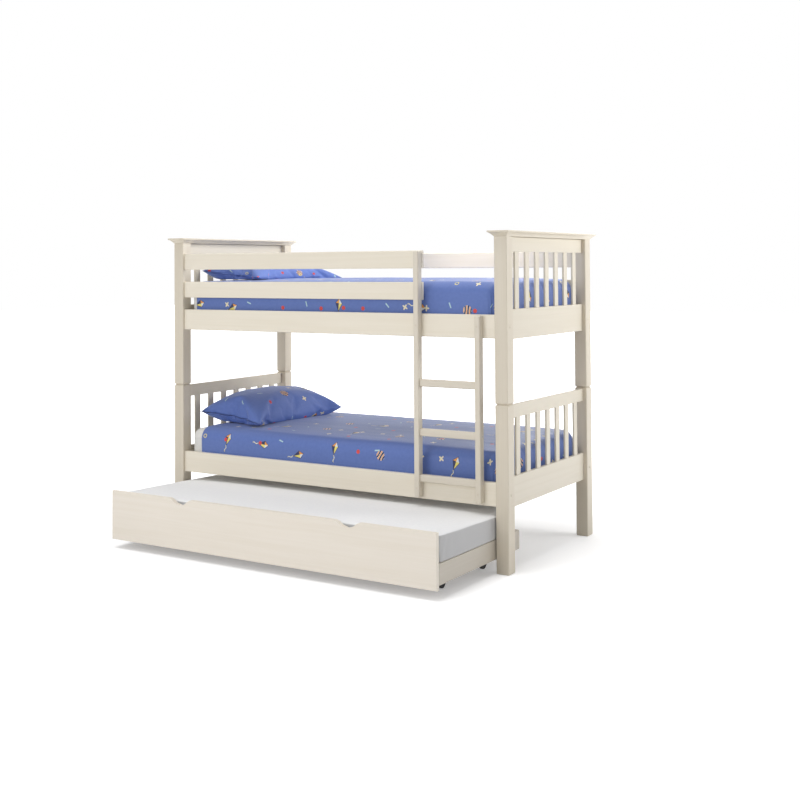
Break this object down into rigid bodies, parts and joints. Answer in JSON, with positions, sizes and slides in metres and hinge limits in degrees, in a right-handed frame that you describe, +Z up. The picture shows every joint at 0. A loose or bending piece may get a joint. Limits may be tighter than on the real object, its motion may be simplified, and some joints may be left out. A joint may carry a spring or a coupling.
{
  "type": "bunk bed with trundle",
  "caption": "White-lacquered pine bunk bed with slatted ends, moulded caps, guard rails, a fixed ladder and bedding, over a trundle bed that rolls out on castors.",
  "frame": {"origin": "on the floor, in the middle of the whole outline, with the trundle standing 535 mm out of the front", "axes": "+X along the bed towards the end with the ladder, +Y from the front to the back, +Z up"},
  "size_m": [2.108, 1.541, 1.5886],
  "materials": {
    "lacquer": "ivory satin lacquer over pine",
    "bare_pine": "planed, unfinished",
    "steel": "zinc plated",
    "black_plastic": "moulded",
    "wheel_rubber": "matt",
    "ticking": "plain white cover",
    "blue_cotton": "printed cotton"
  },
  "bodies": {
    "bedstead": {"lower_post_front_left": "lacquer", "lower_post_front_right": "lacquer", "lower_post_back_left": "lacquer", "lower_post_back_right": "lacquer", "upper_post_front_left": "lacquer", "upper_post_front_right": "lacquer", "upper_post_back_left": "lacquer", "upper_post_back_right": "lacquer", "joining_pin_front_left": "steel", "joining_pin_front_right": "steel", "joining_pin_back_left": "steel", "joining_pin_back_right": "steel", "cap_moulding_left": "lacquer", "cap_moulding_right": "lacquer", "lower_end_top_rail_left": "lacquer", "lower_end_top_rail_right": "lacquer", "upper_end_top_rail_left": "lacquer", "upper_end_top_rail_right": "lacquer", "lower_end_slatted_rail_left": "lacquer", "lower_end_slatted_rail_right": "lacquer", "upper_end_slatted_rail_left": "lacquer", "upper_end_slatted_rail_right": "lacquer", "lower_side_rail_front": "lacquer", "lower_side_rail_back": "lacquer", "upper_side_rail_front": "lacquer", "upper_side_rail_back": "lacquer", "top_guard_rail_front": "lacquer", "top_guard_rail_back": "lacquer", "low_guard_rail_front": "lacquer", "low_guard_rail_back": "lacquer", "ladder_stile_left": "lacquer", "ladder_stile_right": "lacquer", "ladder_rung_low": "lacquer", "ladder_rung_middle": "lacquer", "ladder_rung_high": "lacquer", "lower_slat_deck": "bare_pine", "upper_slat_deck": "bare_pine", "lower_mattress": "ticking", "upper_mattress": "ticking", "lower_cover": "blue_cotton", "upper_cover": "blue_cotton", "lower_pillow": "blue_cotton", "upper_pillow": "blue_cotton"},
    "trundle": {"trundle_front_panel": "lacquer", "trundle_side_rail_left": "lacquer", "trundle_side_rail_right": "lacquer", "trundle_back_rail": "lacquer", "trundle_bearer_front": "bare_pine", "trundle_bearer_back": "bare_pine", "trundle_slat_deck": "bare_pine", "trundle_mattress": "ticking", "castor_housing_front_left": "black_plastic", "castor_housing_front_right": "black_plastic", "castor_housing_back_left": "black_plastic", "castor_housing_back_right": "black_plastic"},
    "wheel_front_left": {"castor_wheel_front_left": "wheel_rubber"},
    "wheel_front_right": {"castor_wheel_front_right": "wheel_rubber"},
    "wheel_back_left": {"castor_wheel_back_left": "wheel_rubber"},
    "wheel_back_right": {"castor_wheel_back_right": "wheel_rubber"}
  },
  "joints": [
    {"name": "trundle_slide", "type": "slide", "parent": "bedstead", "child": "trundle", "axis": [0, 1, 0], "range_m": [-0.3, 0.547]},
    {"name": "wheel_front_left_spin", "type": "hinge", "parent": "trundle", "child": "wheel_front_left", "pos_m": [-0.8643, -0.5705, 0.025], "axis": [1, 0, 0], "continuous": true},
    {"name": "wheel_front_right_spin", "type": "hinge", "parent": "trundle", "child": "wheel_front_right", "pos_m": [0.8643, -0.5705, 0.025], "axis": [1, 0, 0], "continuous": true},
    {"name": "wheel_back_left_spin", "type": "hinge", "parent": "trundle", "child": "wheel_back_left", "pos_m": [-0.8643, -0.1825, 0.025], "axis": [1, 0, 0], "continuous": true},
    {"name": "wheel_back_right_spin", "type": "hinge", "parent": "trundle", "child": "wheel_back_right", "pos_m": [0.8643, -0.1825, 0.025], "axis": [1, 0, 0], "continuous": true}
  ],
  "couplings": [
    {"joint": "wheel_front_left_spin", "follows": "trundle_slide", "rad_per_m": -40},
    {"joint": "wheel_front_right_spin", "follows": "trundle_slide", "rad_per_m": -40},
    {"joint": "wheel_back_left_spin", "follows": "trundle_slide", "rad_per_m": -40},
    {"joint": "wheel_back_right_spin", "follows": "trundle_slide", "rad_per_m": -40}
  ]
}
